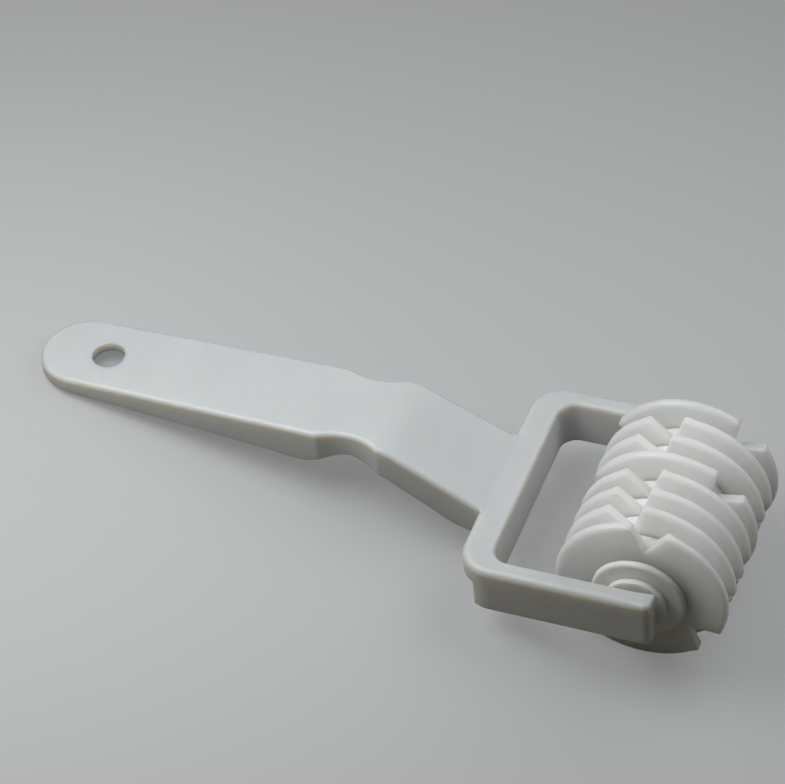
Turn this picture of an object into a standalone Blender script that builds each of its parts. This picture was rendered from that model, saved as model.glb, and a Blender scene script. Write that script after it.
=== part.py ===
"""Lattice roller cutter.

A stack of notched round blades turns between the arms of a fork, which is moulded in one
with a cranked, hollow-backed handle. The cutter rests on its blades and on the handle's tip.
All lengths are in metres, and +Z is up.

The pieces are placed in the cutter's own frame: its origin is the middle of the crossbar's
back edge at the fork's top, +X runs forward along the fork, and +Y runs along the axle.
The frame is then tipped until the blades and the handle's tip stand on the floor.
"""
import math

import bmesh
import bpy
from mathutils import Matrix, Vector

# Fork: a crossbar with two arms, seen from above.
FORK_WIDTH = 0.0650
FORK_REACH = 0.0487
FORK_DEPTH = 0.0129
CROSSBAR_THICK = 0.0077
ARM_THICK = 0.0049
FORK_OUTER_RADIUS = 0.0085
FORK_INNER_RADIUS = 0.0045
ARM_NOSE_RADIUS = 0.0020
ARM_END_RADIUS = 0.0006
FORK_EDGE_RADIUS = 0.0012
# Behind, only the crossbar's upper part reaches back to the handle, as a ledge.
LEDGE_REACH = 0.0045
LEDGE_DEPTH = 0.0053

# Handle: a ramp up from the crossbar, a knee, then a level grip with a finger waist.
HANDLE_LENGTH = 0.1200
GRIP_RISE = 0.0128
KNEE_RADIUS = 0.0160
ROOT_HALF_WIDTH = 0.0135
SHOULDER_HALF_WIDTH = 0.0124
TIP_RADIUS = 0.0113
WAIST_HALF_WIDTH = 0.0104
WAIST_HALF_CHORD = 0.0077
ROOT_FLARE_RADIUS = 0.0005
GRIP_EDGE_RADIUS = 0.0012
SKIRT_EDGE_RADIUS = 0.0004
HANG_HOLE_RADIUS = 0.0042

# Hollow underside.
WALL_THICK = 0.0020
PLATE_THICK = 0.0026
RIB_THICK = 0.0014
POCKET_MARGIN = 0.0004

# Roller: blades, spacers between them, and a stepped hub at each end.
BLADE_RADIUS = 0.0213
BLADE_THICK = 0.0026
BLADE_RIM_RADIUS = 0.0011
NOTCH_FLOOR_RADIUS = 0.0140
NOTCH_SHOULDER_RADIUS = 0.0008
NOTCH_ROOT_RADIUS = 0.0004
NOTCH_EDGE_RADIUS = 0.0004
SHOULDER_BLEND = 0.0030
BOSS_RADIUS = 0.0116
BOSS_THICK = 0.0019
BOSS_EDGE_RADIUS = 0.0007
SPACER_RADIUS = 0.0138
COLLAR_RADIUS = 0.0076
COLLAR_THICK = 0.0016
COLLAR_EDGE_RADIUS = 0.0004
END_PLAY = 0.0010

# Roller core: a six-sided key with a round trunnion at each end, snapped between the arms.
KEY_HALF_ACROSS_FLATS = 0.0045
TRUNNION_RADIUS = 0.0030
TRUNNION_CHAMFER = 0.0005
SOCKET_DEPTH = 0.0032
AXLE_REACH = 0.0431
AXLE_DROP = 0.0070

# One clearance serves every seat, and one overrun every cut.
CLEARANCE = 0.0003
OVERRUN = 0.0040
WELD_DISTANCE = 0.000001

# Counts and angles.
BLADE_COUNT = 8
NOTCH_COUNT = 3
NOTCH_HALF_ANGLE = math.radians(12)
RAMP_ANGLE = math.radians(27)
KEY_ANGLE = math.radians(15)
# Each blade's notch angle, near side to far side: 0 points forward and 90 degrees up.
NOTCH_PHASES = tuple(math.radians(angle) for angle in (84, 105, 104, 103, 45, 106, 103, 44))
ARC_STEP = math.radians(15)
NOTCH_ARC_STEP = math.radians(30)
RIM_STEP = math.radians(8)
BOSS_SIDES = 36
SPACER_SIDES = 28
COLLAR_SIDES = 28
TRUNNION_SIDES = 24
HANG_HOLE_SIDES = 28

# Handle's tables. Stations are shares of its length, counted from the crossbar.
WAIST_STATION_SHARE = 0.2860
DEPTH_SHARES = (
    (-0.060, 0.530),
    (0.000, 0.690),
    (0.057, 0.826),
    (0.117, 0.778),
    (0.170, 0.752),
    (0.200, 0.710),
    (0.233, 0.655),
    (0.283, 0.527),
    (0.342, 0.659),
    (0.388, 0.767),
    (0.447, 0.705),
    (0.540, 0.628),
    (0.650, 0.543),
    (0.783, 0.442),
    (0.858, 0.388),
    (0.917, 0.333),
    (1.000, 0.271),
)
HANG_HOLE_STATION_SHARE = 0.8525
RIB_STATION_SHARES = (0.105, 0.200, 0.300, 0.400, 0.500, 0.600, 0.700)
SPINE_END_SHARE = 0.780

MOULDING_COLOUR = (0.80, 0.79, 0.77, 1.0)
BLADE_COLOUR = (0.76, 0.76, 0.75, 1.0)
CORE_COLOUR = (0.74, 0.72, 0.69, 1.0)

# Derived sizes.
HALF_WIDTH = FORK_WIDTH / 2
HALF_GAP = HALF_WIDTH - ARM_THICK
# The handle's skirts run under the ledge and end inside the crossbar's full-depth wall.
SKIRT_START = -(LEDGE_REACH + CROSSBAR_THICK) / 2
# The roller fills the gap between the arms but for its end play. It lies against the far
# arm, so that the play shows at the near arm.
COLLAR_END = HALF_GAP - CLEARANCE - END_PLAY / 2
COLLAR_START = COLLAR_END - COLLAR_THICK
BOSS_START = COLLAR_START - CLEARANCE - BOSS_THICK
HALF_STACK = BOSS_START - CLEARANCE
BLADE_PITCH = (2 * HALF_STACK - BLADE_THICK) / (BLADE_COUNT - 1)
ROLLER_SHIFT = END_PLAY / 2
SPACER_THICK = BLADE_PITCH - BLADE_THICK - 2 * CLEARANCE
TRUNNION_END = HALF_GAP + SOCKET_DEPTH - CLEARANCE - ROLLER_SHIFT
KEY_END = COLLAR_START - CLEARANCE
KNEE_TANGENT = KNEE_RADIUS * math.tan(RAMP_ANGLE / 2)
KNEE_STATION = GRIP_RISE / math.tan(RAMP_ANGLE)
KNEE_START = KNEE_STATION - KNEE_TANGENT * math.cos(RAMP_ANGLE)
KNEE_END = KNEE_STATION + KNEE_TANGENT
WAIST_STATION = HANDLE_LENGTH * WAIST_STATION_SHARE
TIP_STATION = HANDLE_LENGTH - TIP_RADIUS


def clear_scene():
    for item in list(bpy.data.objects):
        bpy.data.objects.remove(item, do_unlink=True)


def new_collection(name):
    collection = bpy.data.collections.new(name)
    bpy.context.scene.collection.children.link(collection)
    return collection


def add_object(name, mesh, collection, parent):
    item = bpy.data.objects.new(name, mesh)
    collection.objects.link(item)
    item.parent = parent
    return item


def add_cutter(name, mesh, parent):
    item = add_object(name, mesh, cutters, parent)
    item.hide_render = True
    item.display_type = "WIRE"
    return item


def add_empty(name, parent):
    item = bpy.data.objects.new(name, None)
    parts.objects.link(item)
    item.parent = parent
    return item


def give_plastic(item, colour, roughness):
    material = bpy.data.materials.new(item.name + "_plastic")
    material.use_nodes = True
    shader = material.node_tree.nodes["Principled BSDF"]
    shader.inputs["Base Color"].default_value = colour
    shader.inputs["Roughness"].default_value = roughness
    shader.inputs["Metallic"].default_value = 0.0
    item.data.materials.append(material)


def combine(item, other, operation):
    modifier = item.modifiers.new(operation.lower() + "_" + other.name, "BOOLEAN")
    modifier.operation = operation
    modifier.object = other
    modifier.solver = "EXACT"


def round_edges(item, width, segments, held_back):
    """Rounds edges by their bevel weights, held back or not where faces are too narrow."""
    modifier = item.modifiers.new("rounded_edges", "BEVEL")
    modifier.width = width
    modifier.segments = segments
    modifier.limit_method = "WEIGHT"
    modifier.use_clamp_overlap = held_back


def polar(radius, angle):
    return Vector((radius * math.cos(angle), radius * math.sin(angle)))


def round_corners(corners, arc_step):
    """Polygon of (point, radius) corners, with an arc in place of each corner."""
    points = []
    for index, (corner, radius) in enumerate(corners):
        if radius == 0:
            points.append(corner)
            continue
        before = (corners[index - 1][0] - corner).normalized()
        after = (corners[(index + 1) % len(corners)][0] - corner).normalized()
        half = before.angle(after) / 2
        centre = corner + (before + after).normalized() * (radius / math.sin(half))
        start = corner + before * (radius / math.tan(half)) - centre
        end = corner + after * (radius / math.tan(half)) - centre
        first = math.atan2(start.y, start.x)
        sweep = math.atan2(end.y, end.x) - first
        sweep = (sweep + math.pi) % (2 * math.pi) - math.pi
        steps = max(1, round(abs(sweep) / arc_step))
        for step in range(steps + 1):
            points.append(centre + polar(radius, first + sweep * step / steps))
    return points


def flat_mesh(name, loops, thickness):
    """Plate of the given outline: a filled 2D curve, extruded and then made a mesh."""
    curve = bpy.data.curves.new(name + "_outline", "CURVE")
    curve.dimensions = "2D"
    curve.fill_mode = "BOTH"
    curve.extrude = thickness / 2
    for loop in loops:
        spline = curve.splines.new("POLY")
        spline.points.add(len(loop) - 1)
        for point, place in zip(spline.points, loop):
            point.co = (place[0], place[1], 0, 1)
        spline.use_cyclic_u = True
    outline = bpy.data.objects.new(name + "_outline", curve)
    cutters.objects.link(outline)
    depsgraph = bpy.context.evaluated_depsgraph_get()
    mesh = bpy.data.meshes.new_from_object(outline.evaluated_get(depsgraph))
    mesh.name = name
    bpy.data.objects.remove(outline, do_unlink=True)
    shape = bmesh.new()
    shape.from_mesh(mesh)
    bmesh.ops.remove_doubles(shape, verts=shape.verts, dist=WELD_DISTANCE)
    bmesh.ops.recalc_face_normals(shape, faces=shape.faces)
    shape.to_mesh(mesh)
    shape.free()
    mesh.shade_smooth()
    mesh.set_sharp_from_angle(angle=math.radians(40))
    return mesh


def turned_object(name, profile, closed, sides, collection, parent):
    """Body turned about its own Z from (radius, height) points that run down its outside."""
    mesh = bpy.data.meshes.new(name)
    places = [(radius, 0, height) for radius, height in profile]
    edges = [(index, index + 1) for index in range(len(places) - 1)]
    if closed:
        edges.append((len(places) - 1, 0))
    mesh.from_pydata(places, edges, [])
    item = add_object(name, mesh, collection, parent)
    screw = item.modifiers.new("turned", "SCREW")
    screw.axis = "Z"
    screw.steps = sides
    screw.render_steps = sides
    screw.use_merge_vertices = True
    screw.merge_threshold = WELD_DISTANCE
    screw.use_smooth_shade = False
    return item


def turned_disc_profile(radius, thickness, edge_radius):
    """Profile of a disc with rounded rims, from its axis at the top to its axis below."""
    half = thickness / 2
    places = [(0, half)]
    for step in range(3):
        angle = math.pi / 2 * (1 - step / 2)
        corner = polar(edge_radius, angle)
        places.append((radius - edge_radius + corner.x, half - edge_radius + corner.y))
    mirrored = [(place[0], -place[1]) for place in reversed(places)]
    return places + mirrored


def boxes_mesh(name, boxes):
    """Several boxes, each given by its lowest and its highest corner."""
    shape = bmesh.new()
    for low, high in boxes:
        size = Vector(high) - Vector(low)
        middle = (Vector(high) + Vector(low)) / 2
        matrix = Matrix.Translation(middle) @ Matrix.Diagonal((*size, 1))
        bmesh.ops.create_cube(shape, size=1, matrix=matrix)
    mesh = bpy.data.meshes.new(name)
    shape.to_mesh(mesh)
    shape.free()
    return mesh


def rod_mesh(name, radius, length, sides):
    shape = bmesh.new()
    bmesh.ops.create_cone(
        shape,
        cap_ends=True,
        segments=sides,
        radius1=radius,
        radius2=radius,
        depth=length,
    )
    mesh = bpy.data.meshes.new(name)
    shape.to_mesh(mesh)
    shape.free()
    return mesh


def read_table(table, place):
    """Smooth curve through a table's rows, with slopes taken from each row's neighbours."""
    last = len(table) - 1
    place = min(max(place, table[0][0]), table[last][0])
    row = 0
    while row < last - 1 and table[row + 1][0] < place:
        row += 1

    def slope(index):
        low = max(index - 1, 0)
        high = min(index + 1, last)
        return (table[high][1] - table[low][1]) / (table[high][0] - table[low][0])

    span = table[row + 1][0] - table[row][0]
    t = (place - table[row][0]) / span
    start = table[row][1] * (2 * t**3 - 3 * t**2 + 1) + slope(row) * span * (t**3 - 2 * t**2 + t)
    end = table[row + 1][1] * (3 * t**2 - 2 * t**3) + slope(row + 1) * span * (t**3 - t**2)
    return start + end


def top_height(station):
    """Handle's top over its length: ramp, knee arc, level grip."""
    if station <= KNEE_START:
        return station * math.tan(RAMP_ANGLE)
    if station >= KNEE_END:
        return GRIP_RISE
    return GRIP_RISE - KNEE_RADIUS + math.sqrt(KNEE_RADIUS**2 - (KNEE_END - station) ** 2)


def under_height(station):
    """Lower edge of the handle's skirts."""
    depth = FORK_DEPTH * read_table(DEPTH_SHARES, station / HANDLE_LENGTH)
    return top_height(station) - depth


def flank_width(station):
    """Handle's half width over its length, without the round tip."""
    reach = min(max(station / WAIST_STATION, 0), 1)
    if station < WAIST_STATION:
        width = ROOT_HALF_WIDTH + (SHOULDER_HALF_WIDTH - ROOT_HALF_WIDTH) * reach
    else:
        reach = (station - WAIST_STATION) / (TIP_STATION - WAIST_STATION)
        width = SHOULDER_HALF_WIDTH + (TIP_RADIUS - SHOULDER_HALF_WIDTH) * reach
    # A concave arc on each flank makes the waist for the finger and thumb.
    bite = SHOULDER_HALF_WIDTH - WAIST_HALF_WIDTH
    waist_radius = (WAIST_HALF_CHORD**2 + bite**2) / (2 * bite)
    off_centre = abs(station - WAIST_STATION)
    if off_centre < WAIST_HALF_CHORD:
        arc = WAIST_HALF_WIDTH + waist_radius - math.sqrt(waist_radius**2 - off_centre**2)
        width = min(width, arc)
    # A small fillet spreads the root where it meets the crossbar.
    inside = ROOT_FLARE_RADIUS - max(station + CLEARANCE, 0)
    if inside > 0:
        width += ROOT_FLARE_RADIUS - math.sqrt(ROOT_FLARE_RADIUS**2 - inside**2)
    return width


def plan_points(start):
    """Half outline of the handle from a start station, round the tip to the middle."""
    stations = [start]
    flare = [-CLEARANCE + ROOT_FLARE_RADIUS * (1 - math.cos(step * ARC_STEP)) for step in range(7)]
    ramp = [KNEE_START * step / 7 for step in range(2, 8)]
    knee = [KNEE_START + (KNEE_END - KNEE_START) * step / 6 for step in range(7)]
    waist_start = WAIST_STATION - WAIST_HALF_CHORD
    waist = [waist_start + WAIST_HALF_CHORD * step / 6 for step in range(13)]
    grip_start = WAIST_STATION + WAIST_HALF_CHORD
    grip = [grip_start + (TIP_STATION - grip_start) * step / 14 for step in range(1, 14)]
    closest = WAIST_HALF_CHORD / 24
    for station in sorted(flare + ramp + knee + waist + grip):
        fine = station < ROOT_FLARE_RADIUS
        if station - stations[-1] > (0 if fine else closest):
            stations.append(station)
    points = [Vector((station, flank_width(station))) for station in stations]
    for step in range(13):
        angle = math.pi / 2 * (1 - step / 12)
        points.append(Vector((TIP_STATION, 0)) + polar(TIP_RADIUS, angle))
    points[-1].y = 0
    return points


def inward_normals(points):
    normals = []
    for index in range(len(points)):
        before = points[max(index - 1, 0)]
        after = points[min(index + 1, len(points) - 1)]
        run = after - before
        normals.append(Vector((run.y, -run.x)).normalized())
    normals[0] = Vector((0, -1))
    normals[-1] = Vector((-1, 0))
    return normals


def loft_half(name, start, rings, lowest, highest):
    """Half of a lofted handle body, open on its middle plane.

    Each ring is (inset, height function): the outline moved inwards, at the height that the
    function gives for each station. The lowest and the highest ring are closed to the middle.
    """
    points = plan_points(start)
    normals = inward_normals(points)
    shape = bmesh.new()
    columns = []
    for point, normal in zip(points, normals):
        column = []
        for inset, height in rings:
            place = point + normal * inset
            column.append((-place.x, max(place.y, 0), height(place.x)))
        foot = point + normal * rings[0][0]
        head = point + normal * rings[-1][0]
        column.insert(0, (-foot.x, 0, lowest(foot.x)))
        column.append((-head.x, 0, highest(head.x)))
        columns.append([shape.verts.new(place) for place in column])
    for left, right in zip(columns, columns[1:]):
        for index in range(len(left) - 1):
            corners = (left[index], left[index + 1], right[index + 1], right[index])
            shape.faces.new(corners)
    shape.faces.new(columns[0])
    bmesh.ops.remove_doubles(shape, verts=shape.verts, dist=WELD_DISTANCE)
    bmesh.ops.dissolve_degenerate(shape, edges=shape.edges, dist=WELD_DISTANCE)
    bmesh.ops.recalc_face_normals(shape, faces=shape.faces)
    mesh = bpy.data.meshes.new(name)
    shape.to_mesh(mesh)
    shape.free()
    mesh.shade_smooth()
    mesh.set_sharp_from_angle(angle=math.radians(40))
    return mesh


def mirror_across_middle(item):
    mirror = item.modifiers.new("mirrored", "MIRROR")
    mirror.use_axis = (False, True, False)
    mirror.merge_threshold = WELD_DISTANCE


def build_grip_form():
    """Outer form of the handle, with its top edge rounded more than its skirt's edge."""
    rings = []
    for step in range(3):
        angle = math.pi / 2 * (1 - step / 2)
        inset = SKIRT_EDGE_RADIUS * (1 - math.cos(angle))
        lift = SKIRT_EDGE_RADIUS * (1 - math.sin(angle))
        rings.append((inset, lambda place, lift=lift: under_height(place) + lift))
    for step in range(5):
        angle = math.pi / 2 * step / 4
        inset = GRIP_EDGE_RADIUS * (1 - math.cos(angle))
        drop = GRIP_EDGE_RADIUS * (1 - math.sin(angle))
        rings.append((inset, lambda place, drop=drop: top_height(place) - drop))
    mesh = loft_half("grip_form", SKIRT_START, rings, under_height, top_height)
    item = add_cutter("grip_form", mesh, tool_frame)
    mirror_across_middle(item)
    return item


def build_underside_hollow():
    """Space under the grip's plate, inside its skirts, cut into cells by ribs."""
    def ceiling(place):
        return top_height(place) - PLATE_THICK

    def below(place):
        return under_height(place) - OVERRUN

    rings = [(WALL_THICK, below), (WALL_THICK, ceiling)]
    mesh = loft_half("underside_hollow", WALL_THICK, rings, below, ceiling)
    item = add_cutter("underside_hollow", mesh, tool_frame)
    mirror_across_middle(item)
    lowest = -FORK_DEPTH - OVERRUN
    highest = GRIP_RISE + OVERRUN
    slabs = []
    for share in RIB_STATION_SHARES:
        middle = -HANDLE_LENGTH * share
        low = (middle - RIB_THICK / 2, -HALF_WIDTH, lowest)
        high = (middle + RIB_THICK / 2, HALF_WIDTH, highest)
        slabs.append((low, high))
    ribs = add_cutter("cross_ribs", boxes_mesh("cross_ribs", slabs), tool_frame)
    combine(item, ribs, "DIFFERENCE")
    low = (-HANDLE_LENGTH * SPINE_END_SHARE, -RIB_THICK / 2, lowest)
    high = (OVERRUN, RIB_THICK / 2, highest)
    spine = add_cutter("spine_rib", boxes_mesh("spine_rib", [(low, high)]), tool_frame)
    combine(item, spine, "DIFFERENCE")
    return item


def build_ledge_cutter():
    """Space under the ledge, back to back with the crossbar's full-depth wall."""
    low = (-OVERRUN, -FORK_WIDTH, -FORK_DEPTH - OVERRUN)
    high = (LEDGE_REACH, FORK_WIDTH, -LEDGE_DEPTH)
    return add_cutter("under_ledge", boxes_mesh("under_ledge", [(low, high)]), tool_frame)


def build_ledge_pockets():
    """Pockets up into the ledge: two between the handle's skirts and one on each side."""
    lowest = -FORK_DEPTH - OVERRUN
    front = LEDGE_REACH - POCKET_MARGIN
    inner = ROOT_HALF_WIDTH - WALL_THICK
    outer = ROOT_HALF_WIDTH + ROOT_FLARE_RADIUS + POCKET_MARGIN
    half_run = HALF_WIDTH - FORK_OUTER_RADIUS
    pockets = [
        ((WALL_THICK / 2, -inner, lowest), (front, -RIB_THICK / 2, -PLATE_THICK)),
        ((WALL_THICK / 2, RIB_THICK / 2, lowest), (front, inner, -PLATE_THICK)),
        ((WALL_THICK, -half_run, lowest), (front, -outer, -PLATE_THICK)),
        ((WALL_THICK, outer, lowest), (front, half_run, -PLATE_THICK)),
    ]
    return add_cutter("ledge_pockets", boxes_mesh("ledge_pockets", pockets), tool_frame)


def build_handle_fork():
    """Handle and fork, one moulding."""
    corners = [
        (Vector((0, -HALF_WIDTH)), FORK_OUTER_RADIUS),
        (Vector((FORK_REACH, -HALF_WIDTH)), ARM_NOSE_RADIUS),
        (Vector((FORK_REACH, -HALF_GAP)), ARM_END_RADIUS),
        (Vector((CROSSBAR_THICK, -HALF_GAP)), FORK_INNER_RADIUS),
        (Vector((CROSSBAR_THICK, HALF_GAP)), FORK_INNER_RADIUS),
        (Vector((FORK_REACH, HALF_GAP)), ARM_END_RADIUS),
        (Vector((FORK_REACH, HALF_WIDTH)), ARM_NOSE_RADIUS),
        (Vector((0, HALF_WIDTH)), FORK_OUTER_RADIUS),
    ]
    outline = round_corners(corners, ARC_STEP)
    mesh = flat_mesh("handle_fork", [outline], FORK_DEPTH)
    # The fork's upper rim is rounded more than its lower one. Both roundings are held back
    # to what the arms' narrow ends have room for.
    shape = bmesh.new()
    shape.from_mesh(mesh)
    weights = shape.edges.layers.float.new("bevel_weight_edge")
    for edge in shape.edges:
        if edge.calc_face_angle(0) < math.radians(70):
            continue
        heights = [corner.co.z for corner in edge.verts]
        if min(heights) > 0:
            edge[weights] = 1.0
        elif max(heights) < 0:
            edge[weights] = SKIRT_EDGE_RADIUS / FORK_EDGE_RADIUS
    shape.to_mesh(mesh)
    shape.free()
    item = add_object("handle_fork", mesh, parts, tool_frame)
    item.location = (0, 0, -FORK_DEPTH / 2)
    round_edges(item, FORK_EDGE_RADIUS, 3, True)
    combine(item, build_ledge_cutter(), "DIFFERENCE")
    combine(item, build_grip_form(), "UNION")
    combine(item, build_underside_hollow(), "DIFFERENCE")
    combine(item, build_ledge_pockets(), "DIFFERENCE")
    mesh = rod_mesh("hang_hole", HANG_HOLE_RADIUS, FORK_WIDTH, HANG_HOLE_SIDES)
    hole = add_cutter("hang_hole", mesh, tool_frame)
    hole.location = (-HANDLE_LENGTH * HANG_HOLE_STATION_SHARE, 0, GRIP_RISE)
    combine(item, hole, "DIFFERENCE")
    # Both blind sockets come from one rod that ends inside the arms.
    length = 2 * (HALF_GAP + SOCKET_DEPTH)
    mesh = rod_mesh("axle_sockets", TRUNNION_RADIUS + CLEARANCE, length, TRUNNION_SIDES)
    sockets = add_cutter("axle_sockets", mesh, tool_frame)
    sockets.location = (AXLE_REACH, 0, -AXLE_DROP)
    sockets.rotation_euler = (math.pi / 2, 0, 0)
    combine(item, sockets, "DIFFERENCE")
    give_plastic(item, MOULDING_COLOUR, 0.42)


def place_on_axle(item, along):
    """Stands a flat piece on the axle, its own X forward and its own Y up."""
    item.location = (0, along, 0)
    item.rotation_euler = (math.pi / 2, 0, 0)


def key_outline(clearance):
    corner_radius = (KEY_HALF_ACROSS_FLATS + clearance) / math.cos(math.pi / 6)
    return [polar(corner_radius, KEY_ANGLE + math.pi / 3 * side) for side in range(6)]


def blade_outline(phase):
    """Round blade with V notches: their shoulders and roots are slightly rounded."""
    turn = 2 * math.pi / NOTCH_COUNT
    corners = []
    for notch in range(NOTCH_COUNT):
        middle = phase + turn * notch
        corners.append((polar(BLADE_RADIUS, middle - NOTCH_HALF_ANGLE), NOTCH_SHOULDER_RADIUS))
        corners.append((polar(NOTCH_FLOOR_RADIUS, middle), NOTCH_ROOT_RADIUS))
        corners.append((polar(BLADE_RADIUS, middle + NOTCH_HALF_ANGLE), NOTCH_SHOULDER_RADIUS))
        rim = turn - 2 * NOTCH_HALF_ANGLE
        steps = round(rim / RIM_STEP)
        for step in range(1, steps):
            angle = middle + NOTCH_HALF_ANGLE + rim * step / steps
            corners.append((polar(BLADE_RADIUS, angle), 0))
    return round_corners(corners, NOTCH_ARC_STEP)


def weigh_blade_edges(mesh, phase):
    """Bevel weights: full on the rim, small on the notches, blended behind the shoulders."""
    shape = bmesh.new()
    shape.from_mesh(mesh)
    bmesh.ops.dissolve_limit(
        shape,
        angle_limit=math.radians(1),
        verts=shape.verts,
        edges=shape.edges,
    )
    weights = shape.edges.layers.float.new("bevel_weight_edge")
    turn = 2 * math.pi / NOTCH_COUNT
    least = NOTCH_EDGE_RADIUS / BLADE_RIM_RADIUS
    for edge in shape.edges:
        middle = (edge.verts[0].co + edge.verts[1].co) / 2
        if edge.calc_face_angle(0) < math.radians(70) or abs(middle.z) < BLADE_THICK / 4:
            continue
        off_notch = abs((math.atan2(middle.y, middle.x) - phase + turn / 2) % turn - turn / 2)
        reach = (off_notch - NOTCH_HALF_ANGLE) * BLADE_RADIUS / SHOULDER_BLEND
        reach = min(max(reach, 0), 1)
        edge[weights] = least + (1 - least) * reach**2 * (3 - 2 * reach)
    shape.to_mesh(mesh)
    shape.free()


def build_blades(key_bore):
    for index in range(BLADE_COUNT):
        name = "blade_" + str(index + 1)
        phase = NOTCH_PHASES[index % len(NOTCH_PHASES)]
        mesh = flat_mesh(name, [blade_outline(phase)], BLADE_THICK)
        weigh_blade_edges(mesh, phase)
        item = add_object(name, mesh, parts, roller_axis)
        middle = (index - (BLADE_COUNT - 1) / 2) * BLADE_PITCH
        place_on_axle(item, ROLLER_SHIFT + middle)
        round_edges(item, BLADE_RIM_RADIUS, 2, False)
        combine(item, key_bore, "DIFFERENCE")
        give_plastic(item, BLADE_COLOUR, 0.38)


def build_key_cutter():
    """Long six-sided cutter on the axle, which opens every keyed bore."""
    loops = [key_outline(CLEARANCE)]
    item = add_cutter("key_bore", flat_mesh("key_bore", loops, FORK_WIDTH), roller_axis)
    place_on_axle(item, 0)
    return item


def build_spacers(key_bore):
    for index in range(BLADE_COUNT - 1):
        name = "spacer_" + str(index + 1)
        profile = turned_disc_profile(SPACER_RADIUS, SPACER_THICK, SKIRT_EDGE_RADIUS)
        item = turned_object(name, profile, False, SPACER_SIDES, parts, roller_axis)
        middle = (index + 1 - (BLADE_COUNT - 1) / 2) * BLADE_PITCH - BLADE_PITCH / 2
        place_on_axle(item, ROLLER_SHIFT + middle)
        combine(item, key_bore, "DIFFERENCE")
        give_plastic(item, BLADE_COLOUR, 0.40)


def build_bosses(key_bore):
    """Wide ring outside each end blade."""
    for side, name in ((-1, "end_boss_near"), (1, "end_boss_far")):
        profile = turned_disc_profile(BOSS_RADIUS, BOSS_THICK, BOSS_EDGE_RADIUS)
        item = turned_object(name, profile, False, BOSS_SIDES, parts, roller_axis)
        place_on_axle(item, ROLLER_SHIFT + side * (BOSS_START + BOSS_THICK / 2))
        combine(item, key_bore, "DIFFERENCE")
        give_plastic(item, BLADE_COLOUR, 0.40)


def build_collars():
    """Thrust ring on each trunnion, between the boss and the arm."""
    bore = TRUNNION_RADIUS + CLEARANCE
    half = COLLAR_THICK / 2
    edge = COLLAR_EDGE_RADIUS
    profile = [
        (bore, half),
        (COLLAR_RADIUS - edge, half),
        (COLLAR_RADIUS, half - edge),
        (COLLAR_RADIUS, edge - half),
        (COLLAR_RADIUS - edge, -half),
        (bore, -half),
    ]
    for side, name in ((-1, "thrust_collar_near"), (1, "thrust_collar_far")):
        item = turned_object(name, profile, True, COLLAR_SIDES, parts, roller_axis)
        place_on_axle(item, ROLLER_SHIFT + side * (COLLAR_START + half))
        give_plastic(item, CORE_COLOUR, 0.40)


def build_core():
    """Six-sided key in the middle, with a trunnion rod joined through it."""
    mesh = flat_mesh("roller_core", [key_outline(0)], 2 * KEY_END)
    item = add_object("roller_core", mesh, parts, roller_axis)
    place_on_axle(item, ROLLER_SHIFT)
    profile = [
        (0, TRUNNION_END),
        (TRUNNION_RADIUS - TRUNNION_CHAMFER, TRUNNION_END),
        (TRUNNION_RADIUS, TRUNNION_END - TRUNNION_CHAMFER),
        (TRUNNION_RADIUS, TRUNNION_CHAMFER - TRUNNION_END),
        (TRUNNION_RADIUS - TRUNNION_CHAMFER, -TRUNNION_END),
        (0, -TRUNNION_END),
    ]
    rod = turned_object("trunnion_rod", profile, False, TRUNNION_SIDES, cutters, roller_axis)
    rod.hide_render = True
    rod.display_type = "WIRE"
    place_on_axle(rod, ROLLER_SHIFT)
    combine(item, rod, "UNION")
    give_plastic(item, CORE_COLOUR, 0.40)


def stand_on_floor():
    """Tips the frame onto the blades and the handle's tip, and centres it over the origin."""
    tip = Vector((-HANDLE_LENGTH, under_height(HANDLE_LENGTH)))
    run = Vector((AXLE_REACH, -AXLE_DROP)) - tip
    tilt = math.asin(BLADE_RADIUS / run.length) - math.atan2(run.y, run.x)
    tool_frame.rotation_euler = (0, -tilt, 0)
    bpy.context.view_layer.update()
    depsgraph = bpy.context.evaluated_depsgraph_get()
    places = []
    for item in parts.objects:
        if item.type != "MESH":
            continue
        shown = item.evaluated_get(depsgraph)
        places.extend(shown.matrix_world @ corner.co for corner in shown.data.vertices)
    low = [min(place[axis] for place in places) for axis in range(3)]
    high = [max(place[axis] for place in places) for axis in range(3)]
    middle_x = (low[0] + high[0]) / 2
    middle_y = (low[1] + high[1]) / 2
    tool_frame.location = (-middle_x, -middle_y, -low[2])


clear_scene()
parts = new_collection("lattice_roller_cutter")
cutters = new_collection("cutters")
tool_frame = add_empty("tool_frame", None)
roller_axis = add_empty("roller_axis", tool_frame)
roller_axis.location = (AXLE_REACH, 0, -AXLE_DROP)
build_handle_fork()
build_core()
bore_cutter = build_key_cutter()
build_blades(bore_cutter)
build_spacers(bore_cutter)
build_bosses(bore_cutter)
build_collars()
stand_on_floor()
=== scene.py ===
"""Lattice roller cutter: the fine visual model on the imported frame, its stage and its camera.

Lengths are in metres. Pieces are shaped in the cutter's own frame, whose origin is the middle
of the crossbar's back edge at the fork's top, with +X forward along the fork, +Y along the
axle and +Z up. The frame is then tipped as the cutter rests on its blades and its tip.
"""

import math

import bmesh
import bpy
from mathutils import Matrix, Vector


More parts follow.
